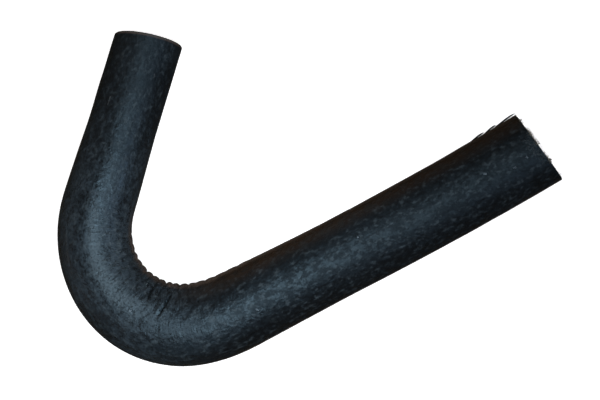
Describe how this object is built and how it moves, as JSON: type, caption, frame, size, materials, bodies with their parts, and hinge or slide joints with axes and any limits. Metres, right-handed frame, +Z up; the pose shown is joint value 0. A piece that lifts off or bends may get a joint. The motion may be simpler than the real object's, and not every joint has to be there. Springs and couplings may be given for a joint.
{
  "type": "charge air hose",
  "caption": "Moulded rubber elbow hose for charge air, a J with a short and a long leg, wrinkled on the inside of its bend, open at both cut ends.",
  "frame": {"origin": "on the surface that the hose lies on, below the middle of its outline", "axes": "+X along the long leg towards its open end, +Y towards the side that the short leg comes back over, +Z up"},
  "size_m": [0.3942, 0.29, 0.06],
  "materials": {
    "rubber": "matt black-blue rubber with a dusty bloom, faintly ribbed by its fabric ply"
  },
  "bodies": {
    "root": {"hose": "rubber"}
  },
  "joints": []
}
